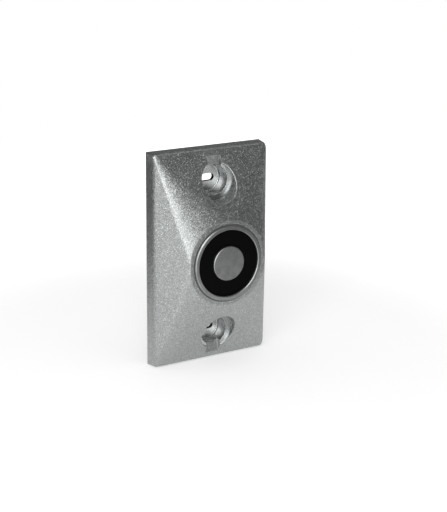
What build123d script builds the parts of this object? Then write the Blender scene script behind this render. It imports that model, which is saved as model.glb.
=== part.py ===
from build123d import *
import os
from math import atan2, cos, radians, sin, sqrt, tan

# Electromagnetic door holder for a single-gang wall box, millimetres.
# Origin at the centre of the plate's back, in the wall plane. +Z is up and -Y points out of the wall.
# A depth is a distance in front of the wall plane.

# Cast plate, outside
plate_width = 70.0
plate_height = 117.0
back_corner_radius = 0.6
front_corner_radius = 2.4
edge_depth = 7.4
edge_draft = 0.35
side_edge_radius = 6.0
end_edge_radius = 2.0
edge_steps = 6
boss_wall = 2.4
boss_depth = 25.3
boss_round = 1.4
boss_flat = 0.3
bore_ease = 0.25

# Cast plate, inside
wall = 2.2
roof_drop = 1.1
sleeve_wall = 2.0
sleeve_length = 16.0
post_radius = 3.4
post_height = 26.6
post_pilot_radius = 1.8
post_pilot_length = 9.0

# Screw pockets, on the fixing spacing of a single-gang box
slot_spacing = 83.34
slot_length = 9.4
slot_width = 4.0
pocket_floor = 2.4
pocket_floor_radius = 7.8
pocket_floor_fillet = 0.7
pocket_inner_radius = 8.1
ledge_depth = 10.6
ledge_radius = 9.7
pocket_taper = 4.0
pocket_wall = 2.0
notch_width = 8.6
notch_reach = 13.0
notch_slope = 17.0
rim_round = 0.5
overrun = 1.0

# Electromagnet
pole_projection = 26.5
cup_radius = 20.4
cup_inner_radius = 18.1
cup_floor = 5.0
cup_chamfer = 0.5
cup_inner_chamfer = 0.35
cup_clearance = 0.4
core_radius = 9.3
core_chamfer = 0.3
filler_recess = 1.5
filler_depth = 2.4
bobbin_clearance = 0.15
bobbin_tube = 0.8
bobbin_flange = 0.9
winding_radius = 16.4
tape_thickness = 0.3

# Steel bridge across the back of the magnet, a little inside the wall plane
bridge_recess = 0.4
bridge_thickness = 2.0
bridge_width = 18.0
bridge_end = 4.6
hole_clearance = 0.25

# Screws and washers
magnet_thread_radius = 2.5
magnet_head_radius = 4.4
magnet_head_height = 3.2
magnet_thread_length = 9.0
post_thread_radius = 1.75
post_head_radius = 3.4
post_head_height = 2.3
post_thread_length = 7.0
thread_clearance = 0.05
washer_thickness = 1.0
washer_margin = 0.2
washer_gap = 0.7
thread_end_gap = 0.5
drive_width = 0.9
drive_depth = 1.1
head_chamfer_share = 1 / 3

# Coil leads and their bush
lead_radius = 0.5
lead_pitch = 1.3
lead_hole_radius = 2.4
lead_hole_place = 13.4
bush_wall = 0.9
bush_flange_radius = 3.4
bush_flange = 0.8

# Circuit board behind the bridge
board_width = 34.0
board_thickness = 1.6
board_corner = 1.5
standoff_length = 6.5
standoff_across_flats = 5.5
standoff_edge = 5.0
standoff_gap = 2.25
board_thread_radius = 1.5
board_head_radius = 2.8
board_head_height = 2.0
board_thread_length = 4.0
solder_height = 0.5
solder_taper = 30.0

# Parts on the board
rectifier_width = 8.4
rectifier_depth = 6.4
rectifier_height = 3.3
rectifier_place = (7.5, 9.0)
pin_size = 0.6
pin_hole_radius = 0.45
pin_pitch = 5.1
pin_tail = 0.9
seat_gap = 0.3
varistor_radius = 5.0
varistor_thickness = 3.6
varistor_round = 1.2
varistor_rise = 1.8
varistor_place = (-7.5, 9.0)
terminal_ways = 3
terminal_pitch = 7.6
terminal_depth = 10.0
terminal_height = 10.5
terminal_place = -8.6
terminal_wall = 1.1
clamp_width = 5.0
clamp_depth = 6.2
clamp_height = 5.4
clamp_wall = 0.9
clamp_clearance = 0.2
clamp_rise = 1.4
well_radius = 2.2
terminal_thread_radius = 1.4
terminal_head_radius = 2.0
terminal_head_height = 1.5
terminal_thread_length = 4.0

# Worked out from the sizes above
bore_radius = cup_radius + cup_clearance
boss_radius = cup_radius + (cup_clearance + boss_wall)
sleeve_radius = bore_radius + sleeve_wall
slot_height = slot_spacing / 2
cup_back = bridge_recess + bridge_thickness
screw_seat = bridge_recess - washer_thickness
core_back = cup_back + cup_floor
standoff_reach = post_head_radius + washer_margin + standoff_across_flats / 2 + standoff_gap
standoff_place = post_height - standoff_reach
board_height = 2 * (standoff_place + standoff_edge)
filler_front = pole_projection - filler_recess
bobbin_front = filler_front - filler_depth
board_front = bridge_recess - standoff_length
board_back = board_front - board_thickness
run_side = plate_width / 2 - edge_draft - boss_radius
run_end = plate_height / 2 - edge_draft - boss_radius
end_slope = (boss_depth - edge_depth) / run_end
terminal_width = terminal_ways * terminal_pitch + terminal_wall
clamp_bottom = board_back - clamp_rise
clamp_top = clamp_bottom - clamp_height
clamp_middle = terminal_place - terminal_depth / 2 + terminal_wall + clamp_depth / 2
clamp_window = clamp_width - 2 * clamp_wall


def in_front(depth):
    """Plane parallel to the wall at this depth; its x is X, its y is Z, and it looks out of the wall."""
    return Plane(origin=(0, -depth, 0), x_dir=(1, 0, 0), z_dir=(0, -1, 0))


def write(builder, name):
    """Labels a finished piece and writes it to its own file."""
    builder.part.label = name
    export_step(builder.part, f"parts/{name}.step")
    volume = builder.part.volume
    print(f"{name}: {len(builder.solids())} solid, {volume:.0f} mm3, valid {builder.part.is_valid}")


def edge_span(run, radius):
    """Depths where the eased edge of a side starts and ends, for a slope of this run."""
    edge_angle = atan2(edge_draft, edge_depth)
    slope_angle = atan2(run, boss_depth - edge_depth)
    tangent = radius * tan((slope_angle - edge_angle) / 2)
    return edge_depth - tangent * cos(edge_angle), edge_depth + tangent * cos(slope_angle)


def drawn_in(depth, run, radius):
    """How far a side has drawn in at this depth: drafted edge, eased edge, then a slope of this run."""
    edge_angle = atan2(edge_draft, edge_depth)
    start, end = edge_span(run, radius)
    if depth <= start:
        return depth * tan(edge_angle)
    if depth >= end:
        return edge_draft + (depth - edge_depth) * run / (boss_depth - edge_depth)
    centre_in = start * tan(edge_angle) + radius * cos(edge_angle)
    centre_depth = start - radius * sin(edge_angle)
    return centre_in - sqrt(radius**2 - (depth - centre_depth) ** 2)


def on_rim(edge):
    """Whether an edge is where a pocket's tapered mouth comes out through the face."""
    middle = edge @ 0.5
    radius = sqrt(middle.X**2 + (abs(middle.Z) - slot_height) ** 2)
    rise = -middle.Y - ledge_depth
    on_cone = abs(radius - ledge_radius - rise * tan(radians(pocket_taper))) < 0.01
    return on_cone and rise > rim_round and edge.length > ledge_radius


def end_face_depth(height):
    """Depth of the upper slope's surface at this height above the centre."""
    return edge_depth + (plate_height / 2 - edge_draft - height) * end_slope


# Notch in the rim of the upper pocket: its floor runs out in the slope above the pocket
notch_end = slot_height + notch_reach
notch_end_depth = end_face_depth(notch_end)
notch_start = slot_height + pocket_inner_radius / 2
notch_start_depth = notch_end_depth - (notch_end - notch_start) * tan(radians(notch_slope))
with BuildPart() as notch:
    with BuildSketch(Plane.YZ):
        with BuildLine():
            Polyline(
                (-notch_start_depth, notch_start),
                (-notch_end_depth, notch_end),
                (-boss_depth, notch_end),
                (-boss_depth, notch_start),
                close=True,
            )
        make_face()
    extrude(amount=notch_width / 2, both=True)

# The hollow in the casting: all under the roof but the sleeve, pocket walls, notch floors and posts
with BuildPart() as hollow:
    with BuildSketch(in_front(0)):
        RectangleRounded(plate_width - 2 * wall, plate_height - 2 * wall, back_corner_radius)
    with BuildSketch(in_front(edge_depth - roof_drop)):
        RectangleRounded(
            plate_width - 2 * (wall + edge_draft),
            plate_height - 2 * (wall + edge_draft),
            back_corner_radius,
        )
    with BuildSketch(in_front(boss_depth - wall)):
        RectangleRounded(
            2 * (boss_radius - wall), 2 * (boss_radius - wall), boss_radius - wall - boss_flat
        )
    loft(ruled=True)
    with BuildSketch(in_front(boss_depth - sleeve_length)):
        Circle(sleeve_radius)
    extrude(amount=sleeve_length, mode=Mode.SUBTRACT)
    with BuildSketch(in_front(0)):
        with Locations((0, slot_height), (0, -slot_height)):
            Circle(pocket_inner_radius + pocket_wall)
    extrude(amount=boss_depth, mode=Mode.SUBTRACT)
    with BuildSketch(in_front(ledge_depth - wall)):
        with Locations((0, slot_height), (0, -slot_height)):
            Circle(ledge_radius + pocket_wall)
    extrude(amount=boss_depth, mode=Mode.SUBTRACT)
    with BuildSketch(in_front(notch_start_depth - wall)):
        with Locations((0, (slot_height + notch_end) / 2), (0, -(slot_height + notch_end) / 2)):
            Rectangle(notch_width + 2 * pocket_wall, notch_reach)
    extrude(amount=boss_depth, mode=Mode.SUBTRACT)
    with BuildSketch(in_front(cup_back)):
        with Locations((0, post_height), (0, -post_height)):
            Circle(post_radius)
    extrude(amount=boss_depth, mode=Mode.SUBTRACT)

# One screw pocket at the origin: floor, tapered inner bore, ledge and tapered mouth
mouth_depth = boss_depth + overrun
with BuildPart() as pocket:
    with BuildSketch(Plane.XY):
        with BuildLine():
            Polyline(
                (0, -pocket_floor),
                (pocket_floor_radius, -pocket_floor),
                (pocket_inner_radius, -ledge_depth),
                (ledge_radius, -ledge_depth),
                (ledge_radius + (mouth_depth - ledge_depth) * tan(radians(pocket_taper)), -mouth_depth),
                (0, -mouth_depth),
                close=True,
            )
        make_face()
        fillet(vertices().group_by(Axis.Y)[-1].sort_by(Axis.X)[-1], pocket_floor_fillet)
    revolve(axis=Axis.Y)
    with BuildSketch(in_front(0)):
        SlotOverall(slot_length, slot_width)
    extrude(amount=pocket_floor + overrun)

# Cast plate: drafted edge, eased front edge, four flats and four corner cones that rise to a round boss
ease_start, ease_end = edge_span(run_side, side_edge_radius)
eased_depths = [ease_start + (ease_end - ease_start) * step / edge_steps for step in range(edge_steps + 1)]
with BuildPart() as faceplate:
    for depth in (0, *eased_depths):
        with BuildSketch(in_front(depth)):
            RectangleRounded(
                plate_width - 2 * drawn_in(depth, run_side, side_edge_radius),
                plate_height - 2 * drawn_in(depth, run_end, end_edge_radius),
                back_corner_radius + (front_corner_radius - back_corner_radius) * depth / ease_end,
            )
    with BuildSketch(in_front(boss_depth)):
        RectangleRounded(2 * boss_radius, 2 * boss_radius, boss_radius - boss_flat)
    loft(ruled=True)
    fillet(faces().sort_by(Axis.Y)[0].edges(), boss_round)
    add(hollow.part, mode=Mode.SUBTRACT)
    with BuildSketch(in_front(0)):
        Circle(bore_radius)
    extrude(amount=boss_depth, mode=Mode.SUBTRACT)
    with Locations((0, 0, slot_height), (0, 0, -slot_height)):
        add(pocket.part, mode=Mode.SUBTRACT)
    add(notch.part, mode=Mode.SUBTRACT)
    add(notch.part.mirror(Plane.XY), mode=Mode.SUBTRACT)
    fillet([edge for edge in edges() if on_rim(edge)], rim_round)
    chamfer(edges().group_by(Axis.Y)[0].filter_by(GeomType.CIRCLE).sort_by(SortBy.LENGTH)[-1], bore_ease)
    with BuildSketch(in_front(cup_back)):
        with Locations((0, post_height), (0, -post_height)):
            Circle(post_pilot_radius)
    extrude(amount=post_pilot_length, mode=Mode.SUBTRACT)

# Steel cup of the electromagnet, open to the front
with BuildPart() as magnet_cup:
    with BuildSketch(in_front(cup_back)):
        Circle(cup_radius)
    extrude(amount=pole_projection - cup_back)
    with BuildSketch(in_front(core_back)):
        Circle(cup_inner_radius)
    extrude(amount=pole_projection - core_back, mode=Mode.SUBTRACT)
    chamfer(edges().group_by(Axis.Y)[0].sort_by(SortBy.LENGTH)[-1], cup_chamfer)
    chamfer(edges().group_by(Axis.Y)[0].sort_by(SortBy.LENGTH)[0], cup_inner_chamfer)
    with BuildSketch(in_front(cup_back)):
        Circle(magnet_thread_radius + hole_clearance)
        with Locations((lead_hole_place, 0)):
            Circle(lead_hole_radius)
    extrude(amount=cup_floor, mode=Mode.SUBTRACT)

# Solid pole, tapped from behind
with BuildPart() as magnet_core:
    with BuildSketch(in_front(core_back)):
        Circle(core_radius)
    extrude(amount=pole_projection - core_back)
    chamfer(edges().group_by(Axis.Y)[0], core_chamfer)
    with BuildSketch(in_front(core_back)):
        Circle(magnet_thread_radius + thread_clearance)
    extrude(amount=magnet_thread_length, mode=Mode.SUBTRACT)

# Bobbin: a tube with a flange at each end, the rear one pierced for the leads
bobbin_radius = core_radius + bobbin_clearance
flange_radius = cup_inner_radius - bobbin_clearance
with BuildPart() as coil_bobbin:
    for depth in (core_back, bobbin_front - bobbin_flange):
        with BuildSketch(in_front(depth)):
            Circle(flange_radius)
        extrude(amount=bobbin_flange)
    with BuildSketch(in_front(core_back)):
        Circle(bobbin_radius + bobbin_tube)
    extrude(amount=bobbin_front - core_back)
    with BuildSketch(in_front(core_back)):
        Circle(bobbin_radius)
    extrude(amount=bobbin_front - core_back, mode=Mode.SUBTRACT)
    with BuildSketch(in_front(core_back)):
        with Locations((lead_hole_place, lead_pitch / 2), (lead_hole_place, -lead_pitch / 2)):
            Circle(lead_radius + thread_clearance)
    extrude(amount=bobbin_flange, mode=Mode.SUBTRACT)

# Copper winding between the flanges
with BuildPart() as coil_winding:
    with BuildSketch(in_front(core_back + bobbin_flange)):
        Circle(winding_radius)
        Circle(bobbin_radius + bobbin_tube, mode=Mode.SUBTRACT)
    extrude(amount=bobbin_front - core_back - 2 * bobbin_flange)

# Tape round the winding
with BuildPart() as winding_tape:
    with BuildSketch(in_front(core_back + bobbin_flange)):
        Circle(winding_radius + tape_thickness)
        Circle(winding_radius, mode=Mode.SUBTRACT)
    extrude(amount=bobbin_front - core_back - 2 * bobbin_flange)

# Cast resin that closes the cup round the pole
with BuildPart() as face_filler:
    with BuildSketch(in_front(bobbin_front)):
        Circle(cup_inner_radius)
        Circle(core_radius, mode=Mode.SUBTRACT)
    extrude(amount=filler_depth)

# Flat steel bridge that ties the magnet to the posts of the casting
with BuildPart() as mounting_bridge:
    with BuildSketch(in_front(bridge_recess)):
        RectangleRounded(bridge_width, 2 * (post_height + bridge_end), bridge_end)
        Circle(magnet_thread_radius + hole_clearance, mode=Mode.SUBTRACT)
        with Locations((0, post_height), (0, -post_height)):
            Circle(post_thread_radius + hole_clearance, mode=Mode.SUBTRACT)
        with Locations((0, standoff_place), (0, -standoff_place)):
            Circle(board_thread_radius + thread_clearance, mode=Mode.SUBTRACT)
    extrude(amount=bridge_thickness)


def cheese_screw(place, seat, shank_radius, shank_length, head_radius, head_height):
    """Screw driven from behind: its head sits on the plane at depth seat, its shank runs forward."""
    x, z = place
    with BuildPart() as screw:
        with BuildSketch(in_front(seat)):
            with Locations((x, z)):
                Circle(shank_radius)
        extrude(amount=shank_length)
        with BuildSketch(in_front(seat - head_height)):
            with Locations((x, z)):
                Circle(head_radius)
        extrude(amount=head_height)
        chamfer(edges().group_by(Axis.Y)[-1], head_height * head_chamfer_share)
        with BuildSketch(in_front(seat - head_height)):
            with Locations((x, z)):
                Rectangle(2 * head_radius, drive_width)
        extrude(amount=drive_depth, mode=Mode.SUBTRACT)
    return screw


def spring_washer(place, seat, bolt_radius):
    """Split spring washer lying behind the plane at depth seat."""
    inner = bolt_radius + washer_margin
    outer = inner + 2 * washer_thickness
    with BuildPart() as washer:
        with BuildSketch(in_front(seat - washer_thickness)):
            with Locations(place):
                Circle(outer)
                Circle(inner, mode=Mode.SUBTRACT)
            with Locations((place[0] + outer, place[1])):
                Rectangle(2 * outer, washer_gap, mode=Mode.SUBTRACT)
        extrude(amount=washer_thickness)
    return washer


magnet_screw = cheese_screw(
    (0, 0),
    screw_seat,
    magnet_thread_radius,
    core_back + magnet_thread_length - thread_end_gap - screw_seat,
    magnet_head_radius,
    magnet_head_height,
)
magnet_washer = spring_washer((0, 0), bridge_recess, magnet_thread_radius)
bridge_screws = {}
bridge_washers = {}
for name, side in (("upper", 1), ("lower", -1)):
    bridge_screws[name] = cheese_screw(
        (0, side * post_height),
        screw_seat,
        post_thread_radius,
        washer_thickness + bridge_thickness + post_thread_length,
        post_head_radius,
        post_head_height,
    )
    bridge_washers[name] = spring_washer((0, side * post_height), bridge_recess, post_thread_radius)

# Rubber bush that guards the leads where they leave the cup
with BuildPart() as lead_bush:
    with BuildSketch(in_front(cup_back)):
        with Locations((lead_hole_place, 0)):
            Circle(lead_hole_radius)
    extrude(amount=cup_floor)
    with BuildSketch(in_front(cup_back - bush_flange)):
        with Locations((lead_hole_place, 0)):
            Circle(bush_flange_radius)
    extrude(amount=bush_flange)
    fillet(edges().group_by(Axis.Y)[-1], bush_flange / 2)
    with BuildSketch(in_front(cup_back - bush_flange)):
        with Locations((lead_hole_place, 0)):
            Circle(lead_hole_radius - bush_wall)
    extrude(amount=cup_floor + bush_flange, mode=Mode.SUBTRACT)


def coil_lead(side):
    """Insulated lead from the winding straight back through the bush to its solder joint on the board."""
    place = (lead_hole_place, side * lead_pitch / 2)
    with BuildPart() as lead:
        with BuildSketch(in_front(board_back)):
            with Locations(place):
                Circle(lead_radius)
        extrude(amount=core_back + bobbin_flange - board_back)
        with BuildSketch(in_front(board_back)):
            with Locations(place):
                Circle(lead_pitch / 2 - thread_clearance)
        extrude(amount=-solder_height, taper=solder_taper)
    return lead


coil_leads = {"1": coil_lead(1), "2": coil_lead(-1)}


def standoff(side):
    """Hexagonal standoff: its stud is screwed into the bridge and its far end is tapped."""
    place = (0, side * standoff_place)
    with BuildPart() as post:
        with BuildSketch(in_front(board_front)):
            with Locations(place):
                RegularPolygon(standoff_across_flats / 2, 6, major_radius=False)
        extrude(amount=standoff_length)
        with BuildSketch(in_front(bridge_recess)):
            with Locations(place):
                Circle(board_thread_radius)
        extrude(amount=bridge_thickness)
        with BuildSketch(in_front(board_front)):
            with Locations(place):
                Circle(board_thread_radius + thread_clearance)
        extrude(amount=board_thread_length, mode=Mode.SUBTRACT)
    return post


standoffs = {"upper": standoff(1), "lower": standoff(-1)}
board_screws = {
    name: cheese_screw(
        (0, side * standoff_place),
        board_back,
        board_thread_radius,
        board_thickness + board_thread_length - thread_clearance,
        board_head_radius,
        board_head_height,
    )
    for name, side in (("upper", 1), ("lower", -1))
}

# Circuit board, pierced for its screws, the leads and the pins of what it carries
terminal_places = [
    ((way - (terminal_ways - 1) / 2) * terminal_pitch, terminal_place) for way in range(terminal_ways)
]
rectifier_pins = [
    (rectifier_place[0] + across * pin_pitch / 2, rectifier_place[1] + along * pin_pitch / 2)
    for across in (-1, 1)
    for along in (-1, 1)
]
varistor_pins = [(varistor_place[0] + across * pin_pitch / 2, varistor_place[1]) for across in (-1, 1)]
lead_places = [(lead_hole_place, side * lead_pitch / 2) for side in (1, -1)]
with BuildPart() as circuit_board:
    with BuildSketch(in_front(board_back)):
        RectangleRounded(board_width, board_height, board_corner)
        with Locations((0, standoff_place), (0, -standoff_place)):
            Circle(board_thread_radius + hole_clearance, mode=Mode.SUBTRACT)
        with Locations(*lead_places):
            Circle(lead_radius + thread_clearance, mode=Mode.SUBTRACT)
        with Locations(*rectifier_pins, *varistor_pins, *terminal_places):
            Circle(pin_hole_radius, mode=Mode.SUBTRACT)
    extrude(amount=board_thickness)

# Bridge rectifier: a moulded block on four pins
with BuildPart() as bridge_rectifier:
    with BuildSketch(in_front(board_back - seat_gap - rectifier_height)):
        with Locations(rectifier_place):
            Rectangle(rectifier_width, rectifier_depth)
    extrude(amount=rectifier_height)
    chamfer(edges().group_by(Axis.Y)[-1], pin_size)
    with BuildSketch(in_front(board_back - seat_gap)):
        with Locations(*rectifier_pins):
            Rectangle(pin_size, pin_size)
    extrude(amount=seat_gap + board_thickness + pin_tail)

# Surge varistor: a coated disc standing on two wires
varistor_centre = board_back - varistor_rise - varistor_radius
with BuildPart() as surge_varistor:
    with BuildSketch(Plane.XY.offset(varistor_place[1] - varistor_thickness / 2)):
        with Locations((varistor_place[0], -varistor_centre)):
            Circle(varistor_radius)
    extrude(amount=varistor_thickness)
    fillet(edges(), varistor_round)
    with BuildSketch(in_front(varistor_centre)):
        with Locations(*varistor_pins):
            Circle(pin_size / 2)
    extrude(amount=varistor_radius + varistor_rise + board_thickness + pin_tail)

# Terminal block: a moulded body with a screw well, a clamp chamber and a wire mouth for each way
with BuildPart() as terminal_block:
    with BuildSketch(in_front(board_back - terminal_height)):
        with Locations((0, terminal_place)):
            RectangleRounded(terminal_width, terminal_depth, terminal_wall / 2)
    extrude(amount=terminal_height)
    chamfer(edges().group_by(Axis.Y)[-1], terminal_wall / 2)
    with BuildSketch(in_front(board_back - terminal_height)):
        with Locations(*terminal_places):
            Circle(well_radius)
    extrude(amount=terminal_height, mode=Mode.SUBTRACT)
    with BuildSketch(in_front(clamp_top - clamp_clearance)):
        with Locations(*[(x, clamp_middle) for x, z in terminal_places]):
            Rectangle(clamp_width + 2 * clamp_clearance, clamp_depth + 2 * clamp_clearance)
    extrude(amount=clamp_height + clamp_rise + clamp_clearance, mode=Mode.SUBTRACT)
    with BuildSketch(Plane.XY.offset(terminal_place - terminal_depth / 2)):
        with Locations(*[(x, -(clamp_bottom + clamp_top) / 2) for x, z in terminal_places]):
            Rectangle(clamp_window, clamp_window)
    extrude(amount=2 * terminal_wall, mode=Mode.SUBTRACT)


def terminal_clamp(place):
    """Brass cage with a tapped roof, a window for the wire and a solder pin through the board."""
    x, z = place
    with BuildPart() as clamp:
        with BuildSketch(in_front(clamp_top)):
            with Locations((x, clamp_middle)):
                Rectangle(clamp_width, clamp_depth)
        extrude(amount=clamp_height)
        with BuildSketch(Plane.XY.offset(clamp_middle - clamp_depth / 2)):
            with Locations((x, -(clamp_bottom + clamp_top) / 2)):
                Rectangle(clamp_window, clamp_height - 2 * clamp_wall)
        extrude(amount=clamp_depth, mode=Mode.SUBTRACT)
        with BuildSketch(in_front(clamp_top)):
            with Locations((x, z)):
                Circle(terminal_thread_radius + thread_clearance)
        extrude(amount=clamp_wall, mode=Mode.SUBTRACT)
        with BuildSketch(in_front(clamp_bottom)):
            with Locations((x, z)):
                Rectangle(pin_size, pin_size)
        extrude(amount=clamp_rise + board_thickness + pin_tail)
    return clamp


terminal_clamps = {str(way + 1): terminal_clamp(place) for way, place in enumerate(terminal_places)}
terminal_screws = {
    str(way + 1): cheese_screw(
        place,
        clamp_top - clamp_clearance,
        terminal_thread_radius,
        terminal_thread_length,
        terminal_head_radius,
        terminal_head_height,
    )
    for way, place in enumerate(terminal_places)
}

os.makedirs("parts", exist_ok=True)
write(faceplate, "faceplate")
write(magnet_cup, "magnet_cup")
write(magnet_core, "magnet_core")
write(coil_bobbin, "coil_bobbin")
write(coil_winding, "coil_winding")
write(winding_tape, "winding_tape")
write(face_filler, "face_filler")
write(mounting_bridge, "mounting_bridge")
write(magnet_screw, "magnet_screw")
write(magnet_washer, "magnet_washer")
write(lead_bush, "lead_bush")
write(circuit_board, "circuit_board")
write(bridge_rectifier, "bridge_rectifier")
write(surge_varistor, "surge_varistor")
write(terminal_block, "terminal_block")
for prefix, pieces in (
    ("bridge_screw", bridge_screws),
    ("bridge_washer", bridge_washers),
    ("coil_lead", coil_leads),
    ("board_standoff", standoffs),
    ("board_screw", board_screws),
    ("terminal_clamp", terminal_clamps),
    ("terminal_screw", terminal_screws),
):
    for name, piece in pieces.items():
        write(piece, f"{prefix}_{name}")
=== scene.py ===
"""Finishes and studio of a flush-mounted electromagnetic door holder.

The plate is sprayed casting, its screw pockets are cut back to bare metal, and the magnet's pole and cup are
ground steel round a ring of black resin. Behind the plate are the steel bridge and the circuit board.
Lengths are metres in the part's own frame: +Z is up and -Y points out of the wall.
"""

import logging
import math
from dataclasses import dataclass, field
from enum import Enum

import bpy
from mathutils import Matrix, Vector


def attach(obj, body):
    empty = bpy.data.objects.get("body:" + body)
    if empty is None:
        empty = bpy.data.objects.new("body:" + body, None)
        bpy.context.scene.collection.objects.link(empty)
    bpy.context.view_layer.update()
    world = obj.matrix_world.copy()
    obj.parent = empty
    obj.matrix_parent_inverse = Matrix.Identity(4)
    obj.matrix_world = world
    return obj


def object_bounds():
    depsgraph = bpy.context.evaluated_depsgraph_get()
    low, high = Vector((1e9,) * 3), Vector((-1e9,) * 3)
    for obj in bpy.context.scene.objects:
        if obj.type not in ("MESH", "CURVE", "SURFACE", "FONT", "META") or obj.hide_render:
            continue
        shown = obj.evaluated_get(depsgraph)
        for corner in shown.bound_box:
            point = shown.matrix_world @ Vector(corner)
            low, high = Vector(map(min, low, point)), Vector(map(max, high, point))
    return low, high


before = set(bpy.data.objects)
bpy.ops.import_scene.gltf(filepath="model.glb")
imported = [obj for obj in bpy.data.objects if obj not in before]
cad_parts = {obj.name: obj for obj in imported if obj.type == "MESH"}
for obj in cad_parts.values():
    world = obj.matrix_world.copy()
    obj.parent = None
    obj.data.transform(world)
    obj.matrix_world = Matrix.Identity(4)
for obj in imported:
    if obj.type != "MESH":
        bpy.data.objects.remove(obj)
cad_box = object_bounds()

log = logging.getLogger("door_holder")
MM = 0.001
MIDDLE = 0.5

Colour = tuple[float, float, float]
Span = tuple[float, float]
Box = tuple[float, float, float, float]
Socket = bpy.types.NodeSocket

BLACK: Colour = (0.0, 0.0, 0.0)
WHITE: Colour = (1.0, 1.0, 1.0)


class Slot(Enum):
    """Material slot, as the part's record names it; nothing in this script uses it."""

    RESIN = "resin"


class Side(Enum):
    """The two ends of the bridge and the board, as the part's nodes name them."""

    UPPER = "upper"
    LOWER = "lower"


def opaque(colour: Colour, tone: float = 1.0) -> tuple[float, ...]:
    """Returns a colour with its alpha, made lighter or darker by the tone."""
    return (*(min(tone * part, 1.0) for part in colour), 1.0)


class Nodes:
    """Adds nodes to one node tree and links them."""

    def __init__(self, tree: bpy.types.NodeTree) -> None:
        """Keeps the tree that nodes are added to."""
        self.tree = tree

    def add(self, kind: str, **settings: object) -> bpy.types.Node:
        """Adds a node.

        Args:
            kind: Blender's name of the node type.
            **settings: properties of the node to set.

        Returns:
            The new node.
        """
        node = self.tree.nodes.new(kind)
        for name, value in settings.items():
            setattr(node, name, value)
        return node

    def feed(self, socket: Socket, value: object) -> None:
        """Links value to the socket if it is an output, or else sets it there.

        Args:
            socket: input socket of a node.
            value: output socket, number, vector or colour.
        """
        if isinstance(value, Socket):
            self.tree.links.new(value, socket)
        else:
            socket.default_value = value

    def math(self, operation: str, *values: object) -> Socket:
        """Adds a Math node.

        Args:
            operation: Blender's name of the operation.
            *values: inputs, as numbers or output sockets.

        Returns:
            The node's output.
        """
        node = self.add("ShaderNodeMath", operation=operation)
        for socket, value in zip(node.inputs, values):
            self.feed(socket, value)
        return node.outputs[0]

    def plus(self, first: object, second: object) -> Socket:
        """Returns the sum of two values."""
        return self.math("ADD", first, second)

    def less(self, first: object, second: object) -> Socket:
        """Returns the first value less the second."""
        return self.math("SUBTRACT", first, second)

    def times(self, first: object, second: object) -> Socket:
        """Returns the product of two values, which for masks is where both are."""
        return self.math("MULTIPLY", first, second)

    def larger(self, first: object, second: object) -> Socket:
        """Returns the larger of two values, which for masks is where either is."""
        return self.math("MAXIMUM", first, second)

    def below(self, value: object, limit: object) -> Socket:
        """Marks where the value is below the limit."""
        return self.math("LESS_THAN", value, limit)

    def above(self, value: object, limit: object) -> Socket:
        """Marks where the value is above the limit."""
        return self.math("GREATER_THAN", value, limit)

    def within(self, value: object, limit: object) -> Socket:
        """Marks where the value is nearer to 0 than the limit."""
        return self.below(self.math("ABSOLUTE", value), limit)

    def reach(self, first: object, second: object) -> Socket:
        """Returns the distance that two distances at right angles make."""
        return self.math("SQRT", self.plus(self.math("POWER", first, 2.0), self.math("POWER", second, 2.0)))

    def vector(self, operation: str, *values: object) -> bpy.types.Node:
        """Adds a Vector Math node.

        Args:
            operation: Blender's name of the operation.
            *values: inputs, as vectors or output sockets.

        Returns:
            The node, for its outputs differ with the operation.
        """
        node = self.add("ShaderNodeVectorMath", operation=operation)
        for socket, value in zip(node.inputs, values):
            self.feed(socket, value)
        return node

    def ramp(self, value: object, low: float, high: float) -> Socket:
        """Runs smoothly from 0 at low to 1 at high.

        Args:
            value: output socket to read.
            low: value that gives 0.
            high: value that gives 1.

        Returns:
            The output that goes from 0 to 1.
        """
        node = self.add("ShaderNodeMapRange", interpolation_type="SMOOTHSTEP")
        for name, entry in (("Value", value), ("From Min", low), ("From Max", high)):
            self.feed(node.inputs[name], entry)
        return node.outputs["Result"]

    def span(self, value: object, low: object, high: object) -> Socket:
        """Maps a value in a straight line.

        Args:
            value: output socket that goes from 0 to 1.
            low: what 0 gives.
            high: what 1 gives.

        Returns:
            The output that goes from low to high.
        """
        node = self.add("ShaderNodeMapRange")
        for name, entry in (("Value", value), ("To Min", low), ("To Max", high)):
            self.feed(node.inputs[name], entry)
        return node.outputs["Result"]

    def blend(self, factor: object, first: object, second: object) -> Socket:
        """Mixes two colours.

        Args:
            factor: 0 for the first colour, 1 for the second.
            first: colour or output socket.
            second: colour or output socket.

        Returns:
            The mixed colour.
        """
        node = self.add("ShaderNodeMix", data_type="RGBA")
        for index, entry in ((0, factor), (6, first), (7, second)):
            self.feed(node.inputs[index], entry)
        return node.outputs[2]

    def noise(self, place: object, scale: object, detail: float = 2.0) -> Socket:
        """Adds a Noise texture.

        Args:
            place: where it is read.
            scale: how many times it varies in a metre.
            detail: how many finer noises are laid over it.

        Returns:
            The noise, which varies round the middle of 0 to 1.
        """
        node = self.add("ShaderNodeTexNoise")
        for name, entry in (("Vector", place), ("Scale", scale), ("Detail", detail)):
            self.feed(node.inputs[name], entry)
        return node.outputs["Fac"]

    def place(self) -> Socket:
        """Returns the point's place in the part's frame."""
        return self.add("ShaderNodeTexCoord").outputs["Object"]

    def split(self, vector: object) -> tuple[Socket, ...]:
        """Takes a vector apart.

        Args:
            vector: vector or output socket.

        Returns:
            The vector's X, Y and Z.
        """
        node = self.add("ShaderNodeSeparateXYZ")
        self.feed(node.inputs[0], vector)
        return tuple(node.outputs)


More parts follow.
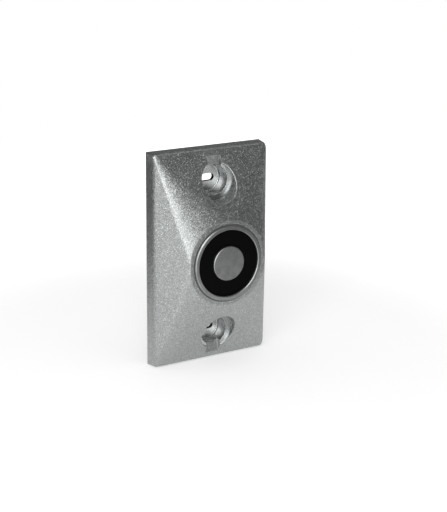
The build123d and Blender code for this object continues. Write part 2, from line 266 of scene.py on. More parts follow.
class Effect:
    """A shader node group, built once and placed in materials with each one's own values."""

    name = "effect"
    inputs: tuple[tuple[str, str, float], ...] = ()
    outputs: tuple[tuple[str, str], ...] = ()

    @classmethod
    def group(cls) -> bpy.types.NodeTree:
        """Finds the node group, and makes it the first time.

        Returns:
            The node group.
        """
        found = bpy.data.node_groups.get(cls.name)
        if found is not None:
            return found
        tree = bpy.data.node_groups.new(cls.name, "ShaderNodeTree")
        for label, kind, default in cls.inputs:
            socket = tree.interface.new_socket(name=label, in_out="INPUT", socket_type=kind)
            if kind == "NodeSocketFloat":
                socket.default_value = default
        for label, kind in cls.outputs:
            tree.interface.new_socket(name=label, in_out="OUTPUT", socket_type=kind)
        nodes = Nodes(tree)
        cls.build(nodes, nodes.add("NodeGroupInput").outputs, nodes.add("NodeGroupOutput").inputs)
        return tree

    @classmethod
    def build(cls, nodes: Nodes, given: object, made: object) -> None:
        """Fills the group. Each effect has its own.

        Args:
            nodes: builder of the group's tree.
            given: sockets that bring the group's inputs.
            made: sockets that take the group's outputs.
        """
        raise NotImplementedError

    @classmethod
    def put(cls, nodes: Nodes, **values: object) -> bpy.types.Node:
        """Places the group in a material.

        Args:
            nodes: builder of the material's tree.
            **values: inputs by name, with a low line for each space.

        Returns:
            The group's node.
        """
        node = nodes.add("ShaderNodeGroup", node_tree=cls.group())
        for name, value in values.items():
            nodes.feed(node.inputs[name.replace("_", " ")], value)
        return node


class Grain(Effect):
    """Fine blasted or cast grain: a height, and a value that varies round the middle of 0 to 1."""

    name = "fine_grain"
    inputs = (("Place", "NodeSocketVector", 0.0), ("Size", "NodeSocketFloat", 0.6 * MM))
    outputs = (("Height", "NodeSocketFloat"), ("Value", "NodeSocketFloat"))
    wide_scale = 0.3
    wide_height = 0.6
    fine_share = 0.7
    wide_share = 0.3

    @classmethod
    def build(cls, nodes: Nodes, given: object, made: object) -> None:
        """Makes the height and the value from two noises, one grain wide and about three grains wide.

        Args:
            nodes: builder of the group's tree.
            given: sockets that bring the group's inputs.
            made: sockets that take the group's outputs.
        """
        scale = nodes.math("DIVIDE", 1.0, given["Size"])
        fine = nodes.noise(given["Place"], scale)
        wide = nodes.noise(given["Place"], nodes.times(scale, cls.wide_scale))
        nodes.feed(made["Height"], nodes.plus(fine, nodes.times(wide, cls.wide_height)))
        value = nodes.plus(nodes.times(fine, cls.fine_share), nodes.times(wide, cls.wide_share))
        nodes.feed(made["Value"], value)


class Flakes(Effect):
    """Metal flakes in a sprayed coat: each cell tilts its own way and has its own tone."""

    name = "metal_flakes"
    inputs = (
        ("Place", "NodeSocketVector", 0.0),
        ("Size", "NodeSocketFloat", 0.3 * MM),
        ("Tilt", "NodeSocketFloat", 0.2),
        ("Normal", "NodeSocketVector", 0.0),
    )
    outputs = (("Normal", "NodeSocketVector"), ("Tone", "NodeSocketFloat"))

    @classmethod
    def build(cls, nodes: Nodes, given: object, made: object) -> None:
        """Gives each cell of a cell texture a random tilt and a random tone from 0 to 1.

        Args:
            nodes: builder of the group's tree.
            given: sockets that bring the group's inputs.
            made: sockets that take the group's outputs.
        """
        cells = nodes.add("ShaderNodeTexVoronoi")
        nodes.feed(cells.inputs["Vector"], given["Place"])
        nodes.feed(cells.inputs["Scale"], nodes.math("DIVIDE", 1.0, given["Size"]))
        lean = nodes.vector("SUBTRACT", cells.outputs["Color"], (MIDDLE, MIDDLE, MIDDLE)).outputs[0]
        scaled = nodes.vector("SCALE", lean)
        nodes.feed(scaled.inputs["Scale"], given["Tilt"])
        leaned = nodes.vector("ADD", given["Normal"], scaled.outputs[0]).outputs[0]
        nodes.feed(made["Normal"], nodes.vector("NORMALIZE", leaned).outputs[0])
        red = nodes.add("ShaderNodeSeparateColor")
        nodes.feed(red.inputs[0], cells.outputs["Color"])
        nodes.feed(made["Tone"], red.outputs[0])


class Turning(Effect):
    """Fine rings that a lathe or cutter leaves round an axis along Y, and the distance from that axis."""

    name = "turning_marks"
    inputs = (
        ("Place", "NodeSocketVector", 0.0),
        ("Centre Z", "NodeSocketFloat", 0.0),
        ("Pitch", "NodeSocketFloat", 0.2 * MM),
    )
    outputs = (("Height", "NodeSocketFloat"), ("Radius", "NodeSocketFloat"))
    detail = 3.0

    @classmethod
    def build(cls, nodes: Nodes, given: object, made: object) -> None:
        """Makes the rings from a noise of the radius and the depth alone.

        Args:
            nodes: builder of the group's tree.
            given: sockets that bring the group's inputs.
            made: sockets that take the group's outputs.
        """
        x, y, z = nodes.split(given["Place"])
        radius = nodes.reach(x, nodes.less(nodes.math("ABSOLUTE", z), given["Centre Z"]))
        along = nodes.add("ShaderNodeCombineXYZ")
        nodes.feed(along.inputs[0], radius)
        nodes.feed(along.inputs[1], y)
        rings = nodes.noise(along.outputs[0], nodes.math("DIVIDE", 1.0, given["Pitch"]), cls.detail)
        nodes.feed(made["Height"], rings)
        nodes.feed(made["Radius"], radius)


class Handling(Effect):
    """Broad, faint patches where a surface has been rubbed or touched."""

    name = "handling_marks"
    inputs = (("Place", "NodeSocketVector", 0.0), ("Size", "NodeSocketFloat", 12 * MM))
    outputs = (("Value", "NodeSocketFloat"),)
    detail = 4.0
    stretch: Span = (0.3, 0.7)

    @classmethod
    def build(cls, nodes: Nodes, given: object, made: object) -> None:
        """Stretches a broad noise to the whole range from 0 to 1.

        Args:
            nodes: builder of the group's tree.
            given: sockets that bring the group's inputs.
            made: sockets that take the group's outputs.
        """
        value = nodes.noise(given["Place"], nodes.math("DIVIDE", 1.0, given["Size"]), cls.detail)
        nodes.feed(made["Value"], nodes.ramp(value, *cls.stretch))


class SoftEdges(Effect):
    """Edges rounded by a hair, as tumbling and handling leave them, and a mask of where they are."""

    name = "soft_edges"
    inputs = (("Radius", "NodeSocketFloat", 0.3 * MM),)
    outputs = (("Normal", "NodeSocketVector"), ("Mask", "NodeSocketFloat"))
    samples = 4
    turned: Span = (0.985, 0.85)

    @classmethod
    def build(cls, nodes: Nodes, given: object, made: object) -> None:
        """Rounds the normal, and marks where that turns it away from the surface's own.

        Args:
            nodes: builder of the group's tree.
            given: sockets that bring the group's inputs.
            made: sockets that take the group's outputs.
        """
        rounded = nodes.add("ShaderNodeBevel", samples=cls.samples)
        nodes.feed(rounded.inputs["Radius"], given["Radius"])
        own = nodes.add("ShaderNodeNewGeometry").outputs["Normal"]
        along = nodes.vector("DOT_PRODUCT", rounded.outputs[0], own).outputs["Value"]
        nodes.feed(made["Normal"], rounded.outputs[0])
        nodes.feed(made["Mask"], nodes.ramp(along, *cls.turned))


def shade(name: str) -> tuple[bpy.types.Material, Nodes, bpy.types.Node]:
    """Starts a material.

    Args:
        name: the material's name.

    Returns:
        The material, the builder of its tree, and its shader.
    """
    material = bpy.data.materials.new(name)
    material.use_nodes = True
    nodes = Nodes(material.node_tree)
    return material, nodes, material.node_tree.nodes["Principled BSDF"]


def rough_bump(nodes: Nodes, height: object, depth: float, normal: object) -> Socket:
    """Adds a Bump node.

    Args:
        nodes: builder of the material's tree.
        height: output socket that gives the height from 0 to 1.
        depth: how far the height reaches, in metres.
        normal: normal to start from.

    Returns:
        The bumped normal.
    """
    node = nodes.add("ShaderNodeBump")
    for name, entry in (("Strength", 1.0), ("Distance", depth), ("Height", height), ("Normal", normal)):
        nodes.feed(node.inputs[name], entry)
    return node.outputs[0]


@dataclass(frozen=True)
class SprayedCasting:
    """Sprayed metallic coat on a casting, with bare cut metal in its pockets and bare casting behind."""

    colour: Colour = (0.352, 0.366, 0.361)
    cut_colour: Colour = (0.47, 0.48, 0.48)
    back_colour: Colour = (0.34, 0.35, 0.35)
    back_metallic: float = 0.35
    back_facing: float = 0.05
    # Near black on the slots' walls: painted shade in the deep, narrow slots.
    slot_shade_colour: Colour = (0.02, 0.02, 0.02)
    roughness: float = 0.36
    roughness_spread: float = 0.03
    cut_roughness: float = 0.26
    back_roughness: float = 0.6
    grain: float = 0.45 * MM
    grain_depth: float = 0.008 * MM
    mottle: float = 1.0
    flake: float = 0.25 * MM
    flake_tilt: float = 0.46
    sparkle: float = 0.36
    glint: float = 1.0
    glint_start: float = 0.94
    speck_share: float = 0.07
    speck_fade: float = 0.8
    speck_dullness: float = 0.85
    speck_lightness: float = 0.7
    darkest: float = 0.1
    edge: float = 0.35 * MM
    # Lightness of the coat's colour at its edges: a painted highlight.
    edge_highlight_tone: float = 1.25
    edge_tilt: float = 0.1
    cutter_pitch: float = 0.16 * MM
    cutter_share: float = 0.15
    pocket_place: float = 41.67 * MM
    notch_start: float = 6.8 * MM
    notch_half_width: float = 4.4 * MM
    notch_depth: float = 7.6 * MM
    pocket_mouth: float = 9.95 * MM
    bore: float = 21.1 * MM
    slot_depth: float = 2.3 * MM
    half_width: float = 35.0 * MM
    half_height: float = 58.5 * MM
    skin: float = 1.3 * MM

    def zones(self, nodes: Nodes, place: object, radius: object) -> tuple[Socket, ...]:
        """Marks where the surface isn't coated.

        Args:
            nodes: builder of the material's tree.
            place: the point's place.
            radius: the point's distance from its pocket's axis.

        Returns:
            Masks of the cut metal in pockets and bore, the slots' walls (painted shade) and the bare inside.
        """
        x, y, z = nodes.split(place)
        facing = nodes.split(nodes.add("ShaderNodeNewGeometry").outputs["Normal"])[1]
        behind = nodes.above(facing, self.back_facing)
        inside_x = nodes.within(x, self.half_width - self.skin)
        inside_z = nodes.within(z, self.half_height - self.skin)
        inner = nodes.times(nodes.times(inside_x, inside_z), behind)
        past = nodes.less(nodes.math("ABSOLUTE", z), self.pocket_place)
        notch = nodes.times(nodes.above(past, self.notch_start), nodes.within(x, self.notch_half_width))
        notch = nodes.times(notch, nodes.below(y, -self.notch_depth))
        pocket = nodes.times(nodes.below(radius, self.pocket_mouth), nodes.less(1.0, notch))
        bare = nodes.larger(pocket, nodes.below(nodes.reach(x, z), self.bore))
        cut = nodes.times(bare, nodes.less(1.0, behind))
        slot = nodes.times(nodes.times(cut, pocket), nodes.above(y, -self.slot_depth))
        return cut, slot, inner

    def specks(self, nodes: Nodes, flakes: object) -> Socket:
        """Marks the few flakes that lie across the coat and look pale from every side."""
        return nodes.ramp(flakes, self.speck_share, self.speck_fade * self.speck_share)

    def tone(self, nodes: Nodes, grain: object, flakes: object, edge_highlight: object) -> Socket:
        """Mottles the coat's colour by its grain and its flakes, and lightens it at the edges as a painted
        highlight.

        Args:
            nodes: builder of the material's tree.
            grain: the grain's value.
            flakes: the flakes' tone.
            edge_highlight: mask of the edges, where the colour is lightened as a painted highlight.

        Returns:
            The coat's colour.
        """
        mottle = nodes.times(nodes.less(grain, MIDDLE), self.mottle)
        sparkle = nodes.times(nodes.less(flakes, MIDDLE), self.sparkle)
        sparkle = nodes.plus(sparkle, nodes.times(nodes.ramp(flakes, self.glint_start, 1.0), self.glint))
        sparkle = nodes.plus(sparkle, nodes.times(self.specks(nodes, flakes), self.speck_lightness))
        # Painted highlight: the edge mask lightens the coat's colour.
        value = nodes.plus(nodes.plus(mottle, sparkle), nodes.span(edge_highlight, 1.0, self.edge_highlight_tone))
        coat = nodes.add("ShaderNodeMix", data_type="RGBA", blend_type="MULTIPLY")
        for index, entry in ((0, 1.0), (6, opaque(self.colour)), (7, nodes.larger(value, self.darkest))):
            nodes.feed(coat.inputs[index], entry)
        return coat.outputs[2]

    def material(self) -> bpy.types.Material:
        """Coats the front, leaves the pockets and the inside bare, and paints shade on the slots' walls.

        Returns:
            The casting's material.
        """
        material, nodes, shader = shade("sprayed_casting")
        place = nodes.place()
        marks = Turning.put(nodes, Place=place, Centre_Z=self.pocket_place, Pitch=self.cutter_pitch)
        cut, slot, inner = self.zones(nodes, place, marks.outputs["Radius"])
        coated = nodes.less(1.0, cut)
        edges = SoftEdges.put(nodes, Radius=self.edge)
        grain = Grain.put(nodes, Place=place, Size=self.grain)
        rubbed = Handling.put(nodes, Place=place)
        height = nodes.times(grain.outputs["Height"], coated)
        rings = nodes.times(marks.outputs["Height"], nodes.times(cut, self.cutter_share))
        bumped = rough_bump(nodes, nodes.plus(height, rings), self.grain_depth, edges.outputs["Normal"])
        tilt = nodes.times(coated, nodes.span(edges.outputs["Mask"], self.flake_tilt, self.edge_tilt))
        flakes = Flakes.put(nodes, Place=place, Size=self.flake, Tilt=tilt, Normal=bumped)
        nodes.feed(shader.inputs["Normal"], flakes.outputs["Normal"])
        coat = self.tone(nodes, grain.outputs["Value"], flakes.outputs["Tone"], edges.outputs["Mask"])
        colour = nodes.blend(inner, coat, opaque(self.back_colour))
        colour = nodes.blend(cut, colour, opaque(self.cut_colour))
        # Painted shade: the slots' walls are coloured near black.
        nodes.feed(shader.inputs["Base Color"], nodes.blend(slot, colour, opaque(self.slot_shade_colour)))
        smoothest, roughest = self.roughness - self.roughness_spread, self.roughness + self.roughness_spread
        rough = nodes.span(rubbed.outputs["Value"], smoothest, roughest)
        rough = nodes.plus(rough, nodes.times(inner, self.back_roughness - self.roughness))
        rough = nodes.plus(rough, nodes.times(cut, self.cut_roughness - self.roughness))
        nodes.feed(shader.inputs["Roughness"], rough)
        specks = nodes.times(self.specks(nodes, flakes.outputs["Tone"]), coated)
        dull = nodes.times(inner, 1.0 - self.back_metallic)
        dull = nodes.larger(dull, nodes.times(specks, self.speck_dullness))
        nodes.feed(shader.inputs["Metallic"], nodes.less(1.0, dull))
        return material


@dataclass(frozen=True)
class TurnedMetal:
    """Bare or plated metal with fine turned rings round the magnet's axis and faint handling marks."""

    name: str
    colour: Colour
    roughness: float = 0.32
    pitch: float = 0.12 * MM
    depth: float = 0.004 * MM
    spread: float = 0.08
    light_tone: float = 1.1
    dark_tone: float = 0.84
    # Lightness of the metal's colour at its edges: a painted highlight.
    edge_highlight_tone: float = 1.3
    patch: float = 3.5 * MM
    edge: float = 0.12 * MM

    def material(self) -> bpy.types.Material:
        """Lays rings and patches over the metal, and lightens its edges as a painted highlight.

        Returns:
            The metal's material.
        """
        material, nodes, shader = shade(self.name)
        place = nodes.place()
        marks = Turning.put(nodes, Place=place, Pitch=self.pitch)
        rubbed = Handling.put(nodes, Place=place, Size=self.patch).outputs["Value"]
        edges = SoftEdges.put(nodes, Radius=self.edge)
        tone = nodes.blend(rubbed, opaque(self.colour, self.light_tone), opaque(self.colour, self.dark_tone))
        # Painted highlight: the edge mask lightens the metal's colour.
        colour = nodes.blend(edges.outputs["Mask"], tone, opaque(self.colour, self.edge_highlight_tone))
        nodes.feed(shader.inputs["Base Color"], colour)
        rough = nodes.span(rubbed, self.roughness, self.roughness + self.spread)
        nodes.feed(shader.inputs["Roughness"], rough)
        shader.inputs["Metallic"].default_value = 1.0
        bumped = rough_bump(nodes, marks.outputs["Height"], self.depth, edges.outputs["Normal"])
        nodes.feed(shader.inputs["Normal"], bumped)
        return material


@dataclass(frozen=True)
class Moulding:
    """Moulded, cast or coated plastic: a fine grain, a little unevenness in its gloss and its colour."""

    name: str
    colour: Colour
    roughness: float = 0.45
    grain: float = 0.3 * MM
    depth: float = 0.01 * MM
    unevenness: float = 0.15
    smoother: float = 0.05
    rougher: float = 0.07
    patch: float = 5 * MM
    specular: float = 0.5
    edge: float = 0.15 * MM

    def material(self) -> bpy.types.Material:
        """Lays grain and patches over the plastic.

        Returns:
            The plastic's material.
        """
        material, nodes, shader = shade(self.name)
        shader.inputs["Specular IOR Level"].default_value = self.specular
        place = nodes.place()
        grain = Grain.put(nodes, Place=place, Size=self.grain)
        rubbed = Handling.put(nodes, Place=place, Size=self.patch).outputs["Value"]
        darker = opaque(self.colour, 1.0 - self.unevenness)
        lighter = opaque(self.colour, 1.0 + self.unevenness)
        nodes.feed(shader.inputs["Base Color"], nodes.blend(grain.outputs["Value"], darker, lighter))
        rough = nodes.span(rubbed, self.roughness - self.smoother, self.roughness + self.rougher)
        nodes.feed(shader.inputs["Roughness"], rough)
        edges = SoftEdges.put(nodes, Radius=self.edge)
        bumped = rough_bump(nodes, grain.outputs["Height"], self.depth, edges.outputs["Normal"])
        nodes.feed(shader.inputs["Normal"], bumped)
        return material


@dataclass(frozen=True)
class PrintedBoard:
    """Green laminate: copper tracks under the lacquer, tinned rings round the screws and printed outlines.

    Tracks and outlines are boxes in millimetres: left, low, right and high.
    """

    lacquer: Colour = (0.040, 0.150, 0.078)
    over_copper: Colour = (0.085, 0.260, 0.130)
    tin: Colour = (0.50, 0.50, 0.48)
    ink: Colour = (0.62, 0.64, 0.60)
    roughness: float = 0.3
    weave: float = 0.8 * MM
    weave_tones: Span = (0.8, 1.2)
    relief: float = 0.035 * MM
    edge: float = 0.15 * MM
    track_half: float = 0.55 * MM
    ink_line: float = 0.35 * MM
    screw_place: float = 18.0 * MM
    ring_radius: float = 3.7 * MM
    tracks: tuple[Box, ...] = (
        (-7.6, -9.0, -7.6, 2.5),
        (-10.0, 2.5, -7.6, 2.5),
        (-10.0, 2.5, -10.0, 9.0),
        (0.0, -9.0, 0.0, 4.5),
        (-5.0, 4.5, 5.0, 4.5),
        (-5.0, 4.5, -5.0, 9.0),
        (5.0, 4.5, 5.0, 9.0),
        (7.6, -9.0, 7.6, 2.5),
        (7.6, 2.5, 10.0, 2.5),
        (10.0, 2.5, 10.0, 7.0),
        (13.4, 0.7, 13.4, 11.0),
        (10.0, 11.0, 13.4, 11.0),
        (13.4, -0.7, 15.3, -0.7),
        (15.3, -0.7, 15.3, 14.2),
        (5.0, 14.2, 15.3, 14.2),
        (5.0, 9.0, 5.0, 14.2),
    )
    outlines: tuple[Box, ...] = (
        (2.5, 5.0, 12.5, 13.0),
        (-13.3, 6.4, -1.7, 11.6),
        (-12.7, -14.3, 12.7, -2.9),
    )

    def patch(self, nodes: Nodes, x: object, z: object, box: Box, grow: float) -> Socket:
        """Marks a rectangle on the board.

        Args:
            nodes: builder of the material's tree.
            x: the point's place across the board.
            z: the point's height.
            box: left, low, right and high in millimetres.
            grow: how far the mark reaches past the box on each side, in metres.

        Returns:
            A mask of the rectangle.
        """
        left, low, right, high = (MM * value for value in box)
        sides = []
        for place, start, end in ((x, left, right), (z, low, high)):
            sides.append(nodes.within(nodes.less(place, (start + end) / 2), (end - start) / 2 + grow))
        return nodes.times(*sides)

    def material(self) -> bpy.types.Material:
        """Lays tracks, print and tin over the laminate's weave.

        Returns:
            The board's material.
        """
        material, nodes, shader = shade("board_laminate")
        place = nodes.place()
        x, _, z = nodes.split(place)
        copper, ink = 0.0, 0.0
        for track in self.tracks:
            copper = nodes.larger(copper, self.patch(nodes, x, z, track, self.track_half))
        for box in self.outlines:
            outer = self.patch(nodes, x, z, box, self.ink_line)
            ink = nodes.larger(ink, nodes.less(outer, self.patch(nodes, x, z, box, 0.0)))
        rings = Turning.put(nodes, Place=place, Centre_Z=self.screw_place)
        tinned = nodes.below(rings.outputs["Radius"], self.ring_radius)
        grain = Grain.put(nodes, Place=place, Size=self.weave).outputs["Value"]
        colour = nodes.blend(grain, *(opaque(self.lacquer, tone) for tone in self.weave_tones))
        colour = nodes.blend(copper, colour, opaque(self.over_copper))
        colour = nodes.blend(ink, colour, opaque(self.ink))
        nodes.feed(shader.inputs["Base Color"], nodes.blend(tinned, colour, opaque(self.tin)))
        nodes.feed(shader.inputs["Metallic"], tinned)
        shader.inputs["Roughness"].default_value = self.roughness
        edges = SoftEdges.put(nodes, Radius=self.edge)
        raised = nodes.larger(copper, tinned)
        nodes.feed(shader.inputs["Normal"], rough_bump(nodes, raised, self.relief, edges.outputs["Normal"]))
        return material


def dress(names: list[str], finish: bpy.types.Material) -> None:
    """Gives CAD pieces one finish.

    Args:
        names: the pieces' node names.
        finish: the material for them.
    """
    for name in names:
        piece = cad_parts[name]
        piece.data.materials.clear()
        piece.data.materials.append(finish)
    log.info("%s on %s", finish.name, ", ".join(names))


@dataclass
class CastPlate:
    """The sprayed casting with its screw pockets."""

    finish: SprayedCasting = field(default_factory=SprayedCasting)

    def build(self) -> None:
        """Dresses the casting."""
        dress(["faceplate"], self.finish.material())


@dataclass
class Electromagnet:
    """Cup, pole, resin and coil, and the bead of sealant round the cup."""

    steel: TurnedMetal = TurnedMetal("ground_steel", (0.31, 0.315, 0.315), 0.36)
    resin: Moulding = Moulding("black_resin", (0.0026, 0.0027, 0.0028), 0.5, specular=0.03)
    nylon: Moulding = Moulding("natural_nylon", (0.78, 0.76, 0.70), 0.4)
    copper: TurnedMetal = TurnedMetal("enamelled_copper", (0.62, 0.29, 0.15), 0.3)
    tape: Moulding = Moulding("polyester_tape", (0.62, 0.50, 0.12), 0.3)
    rubber: Moulding = Moulding("bush_rubber", (0.03, 0.03, 0.03), 0.6)
    sealant: Moulding = Moulding("grey_sealant", (0.16, 0.165, 0.16), 0.5)
    seal_radii: Span = (20.42 * MM, 20.78 * MM)
    seal_front: float = -24.95 * MM
    seal_depth: float = 1.0 * MM
    segments: int = 144

    def seal(self) -> None:
        """Makes the bead of sealant that fills the gap round the cup, a little behind the casting's rim."""
        corners = []
        for step in range(self.segments):
            turn = 2.0 * math.pi * step / self.segments
            for radius in self.seal_radii:
                for y in (self.seal_front, self.seal_front + self.seal_depth):
                    corners.append((radius * math.cos(turn), y, radius * math.sin(turn)))
        faces = []
        for step in range(self.segments):
            near, far = 4 * step, 4 * ((step + 1) % self.segments)
            for first, second in ((0, 1), (1, 3), (3, 2), (2, 0)):
                faces.append((near + first, far + first, far + second, near + second))
        mesh = bpy.data.meshes.new("gap_seal")
        mesh.from_pydata(corners, [], faces)
        piece = bpy.data.objects.new("gap_seal", mesh)
        bpy.context.scene.collection.objects.link(piece)
        mesh.materials.append(self.sealant.material())
        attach(piece, "root")
        log.info("%s on %s", self.sealant.name, piece.name)

    def build(self) -> None:
        """Dresses the magnet's pieces and adds the sealant."""
        dress(["magnet_cup", "magnet_core"], self.steel.material())
        dress(["face_filler"], self.resin.material())
        dress(["coil_bobbin"], self.nylon.material())
        dress(["coil_winding"], self.copper.material())
        dress(["winding_tape"], self.tape.material())
        dress(["lead_bush"], self.rubber.material())
        self.seal()


@dataclass
class BridgeWorks:
    """The plated steel bridge, and every plated screw and washer."""

    plated: TurnedMetal = TurnedMetal("plated_steel", (0.62, 0.63, 0.64), 0.34)
    ways: tuple[int, ...] = (1, 2, 3)

    def build(self) -> None:
        """Dresses the bridge and the fasteners."""
        names = ["mounting_bridge", "magnet_screw", "magnet_washer"]
        for kind in ("bridge_screw", "bridge_washer", "board_screw"):
            names += [f"{kind}_{side.value}" for side in Side]
        names += [f"terminal_screw_{way}" for way in self.ways]
        dress(names, self.plated.material())


@dataclass
class ControlBoard:
    """The circuit board, what stands on it, its standoffs and the coil's leads."""

    brass: TurnedMetal = TurnedMetal("plain_brass", (0.72, 0.56, 0.27), 0.3)
    laminate: PrintedBoard = PrintedBoard()
    black: Moulding = Moulding("black_moulding", (0.02, 0.02, 0.022), 0.5)
    blue: Moulding = Moulding("blue_coating", (0.04, 0.12, 0.36), 0.25)
    green: Moulding = Moulding("green_moulding", (0.06, 0.30, 0.15), 0.4)
    red: Moulding = Moulding("red_insulation", (0.25, 0.02, 0.02), 0.4)
    ways: tuple[int, ...] = (1, 2, 3)

    def build(self) -> None:
        """Dresses the board and its parts."""
        names = [f"board_standoff_{side.value}" for side in Side]
        dress(names + [f"terminal_clamp_{way}" for way in self.ways], self.brass.material())
        dress(["circuit_board"], self.laminate.material())
        dress(["bridge_rectifier"], self.black.material())
        dress(["surge_varistor"], self.blue.material())
        dress(["terminal_block"], self.green.material())
        dress(["coil_lead_1", "coil_lead_2"], self.red.material())


@dataclass
class Viewpoint:
    """The photograph's camera, by its direction and distance from the origin."""

    azimuth: float = -31.97
    elevation: float = 16.49
    roll: float = 0.525
    distance: float = 695.2 * MM
    lens: float = 90.23
    sensor: float = 36.0
    aside: float = -10.88 * MM
    above: float = 2.50 * MM
    clip: Span = (0.01, 20.0)

    def build(self) -> None:
        """Makes the camera."""
        heading, roll = math.radians(self.azimuth), math.radians(self.roll)
        back = outward(self.azimuth, self.elevation)
        level = Vector((math.cos(heading), math.sin(heading), 0.0))
        upright = back.cross(level)
        right = math.cos(roll) * level + math.sin(roll) * upright
        up = -math.sin(roll) * level + math.cos(roll) * upright
        data = bpy.data.cameras.new("camera")
        data.lens = self.lens
        data.sensor_width = self.sensor
        data.clip_start, data.clip_end = self.clip
        camera = bpy.data.objects.new("camera", data)
        turn = Matrix((right, up, back)).transposed().to_4x4()
        place = self.distance * back - self.aside * right - self.above * up
        camera.matrix_world = Matrix.Translation(place) @ turn
        bpy.context.scene.collection.objects.link(camera)
        bpy.context.scene.camera = camera
        log.info("camera %.0f mm away", self.distance / MM)


def outward(azimuth: float, elevation: float) -> Vector:
    """Points from the part towards a direction of view.

    Args:
        azimuth: degrees round from the front, positive to the right.
        elevation: degrees up.

    Returns:
        The unit vector.
    """
    heading, up = math.radians(azimuth), math.radians(elevation)
    return Vector((math.sin(heading) * math.cos(up), -math.cos(heading) * math.cos(up), math.sin(up)))


def shown(nodes: Nodes) -> Socket:
    """Tells the rays that show a surface from the light that it gives.

    Args:
        nodes: builder of a material's or the world's tree.

    Returns:
        1 for rays from the camera, in reflections and through glass, and 0 for the light itself.
    """
    path = nodes.add("ShaderNodeLightPath").outputs
    either = nodes.larger(path["Is Camera Ray"], path["Is Glossy Ray"])
    return nodes.larger(either, path["Is Transmission Ray"])


@dataclass(frozen=True)
class Softbox:
    """A rectangular lamp that faces the part."""

    name: str
    azimuth: float
    elevation: float
    distance: float
    width: float
    height: float
    power: float

    def build(self) -> None:
        """Makes the lamp."""
        back = outward(self.azimuth, self.elevation)
        data = bpy.data.lights.new(self.name, "AREA")
        data.shape = "RECTANGLE"
        data.size, data.size_y, data.energy = self.width, self.height, self.power
        lamp = bpy.data.objects.new(self.name, data)
        lamp.location = back * self.distance
        lamp.rotation_euler = back.to_track_quat("Z", "Y").to_euler()
        bpy.context.scene.collection.objects.link(lamp)
        log.info("lamp %s", self.name)


@dataclass(frozen=True)
class Flag:
    """A curved dark card that only the metal's reflections see, as a studio puts beside bright metal."""

    name: str
    azimuth: Span
    elevation: Span
    level: float
    distance: float = 0.8
    steps: int = 16

    def build(self) -> None:
        """Makes the card as a patch of a sphere round the part."""
        material, nodes, shader = shade(self.name)
        nodes.tree.nodes.remove(shader)
        glow = nodes.add("ShaderNodeEmission")
        glow.inputs["Color"].default_value = opaque(WHITE, self.level)
        nodes.feed(nodes.tree.nodes["Material Output"].inputs["Surface"], glow.outputs[0])
        count = self.steps + 1
        (left, right), (low, high) = self.azimuth, self.elevation
        corners = []
        for row in range(count):
            for column in range(count):
                azimuth = left + (right - left) * column / self.steps
                elevation = low + (high - low) * row / self.steps
                corners.append(outward(azimuth, elevation) * self.distance)
        faces = [
            (at, at + 1, at + count + 1, at + count)
            for at in (row * count + column for row in range(self.steps) for column in range(self.steps))
        ]
        mesh = bpy.data.meshes.new(self.name)
        mesh.from_pydata(corners, [], faces)
        mesh.materials.append(material)
        card = bpy.data.objects.new(self.name, mesh)
        card.visible_camera = card.visible_diffuse = card.visible_shadow = card.visible_transmission = False
        bpy.context.scene.collection.objects.link(card)
        log.info("card %s", self.name)


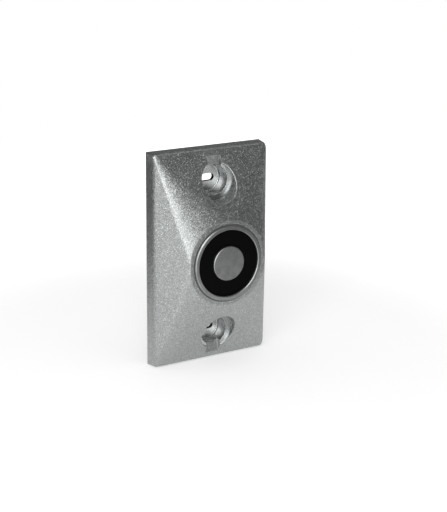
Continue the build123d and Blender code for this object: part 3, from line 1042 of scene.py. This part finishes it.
@dataclass
class Studio:
    """Pale floor, white surroundings, a soft lamp and dark flags."""

    half_floor: float = 0.6
    floor_grain: float = 4 * MM
    floor_tones: Span = (0.8, 0.84)
    floor_roughness: float = 0.9
    fade: Span = (0.12, 0.4)
    base_glow: float = 0.35
    ambient: float = 0.6
    lamps: tuple[Softbox, ...] = (
        Softbox("key", -40.0, 25.0, 0.9, 0.5, 0.85, 4.2),
    )
    flags: tuple[Flag, ...] = (
        Flag("flag_right", (0.0, 180.0), (-5.0, 50.0), 0.165),
        Flag("flag_over_front", (0.0, 72.0), (50.0, 88.0), 0.165),
        Flag("flag_over_behind", (118.0, 258.0), (50.0, 88.0), 0.12),
        Flag("flag_behind", (180.0, 258.0), (-5.0, 50.0), 0.12),
        Flag("card_low_front", (4.0, 98.0), (-20.0, 2.0), 0.28, 0.165),
        Flag("card_low_behind", (110.0, 258.0), (-20.0, 10.0), 0.15, 0.165),
    )

    def floor_material(self) -> bpy.types.Material:
        """Makes a pale floor that is white where it is seen far off, and keeps the part's shadow.

        Returns:
            The floor's material.
        """
        material, nodes, shader = shade("studio_floor")
        place = nodes.place()
        grain = Grain.put(nodes, Place=place, Size=self.floor_grain)
        tone = nodes.blend(grain.outputs["Value"], *(opaque(WHITE, level) for level in self.floor_tones))
        nodes.feed(shader.inputs["Base Color"], tone)
        shader.inputs["Roughness"].default_value = self.floor_roughness
        x, y, _ = nodes.split(place)
        far = nodes.ramp(nodes.reach(x, y), *self.fade)
        glow = nodes.times(nodes.span(far, self.base_glow, 1.0), shown(nodes))
        nodes.feed(shader.inputs["Emission Color"], nodes.blend(glow, opaque(BLACK), opaque(WHITE)))
        shader.inputs["Emission Strength"].default_value = 1.0
        return material

    def build(self, lowest: float) -> None:
        """Makes the floor, the lamp, the flags and the world.

        Args:
            lowest: the part's lowest point.
        """
        half, z = self.half_floor, lowest
        corners = [(-half, -half, z), (half, -half, z), (half, half, z), (-half, half, z)]
        mesh = bpy.data.meshes.new("floor")
        mesh.from_pydata(corners, [], [(0, 1, 2, 3)])
        mesh.materials.append(self.floor_material())
        floor = bpy.data.objects.new("floor", mesh)
        bpy.context.scene.collection.objects.link(floor)
        log.info("floor at %.1f mm", z / MM)
        for piece in (*self.lamps, *self.flags):
            piece.build()
        self.world()

    def world(self) -> None:
        """Makes surroundings that are white where they are seen, and softer as a light."""
        world = bpy.data.worlds.new("surroundings")
        world.use_nodes = True
        nodes = Nodes(world.node_tree)
        backdrop = world.node_tree.nodes["Background"]
        soft = opaque(WHITE, self.ambient)
        nodes.feed(backdrop.inputs["Color"], nodes.blend(shown(nodes), soft, opaque(WHITE)))
        bpy.context.scene.world = world
        log.info("surroundings")


def main() -> None:
    """Builds the sub-assemblies in order, then the studio round them."""
    logging.basicConfig(level=logging.INFO, format="%(name)s: %(message)s")
    bpy.context.scene.view_settings.view_transform = "Standard"
    for part in (CastPlate(), Electromagnet(), BridgeWorks(), ControlBoard(), Viewpoint()):
        part.build()
    Studio().build(cad_box[0].z)


if __name__ == "__main__":
    main()
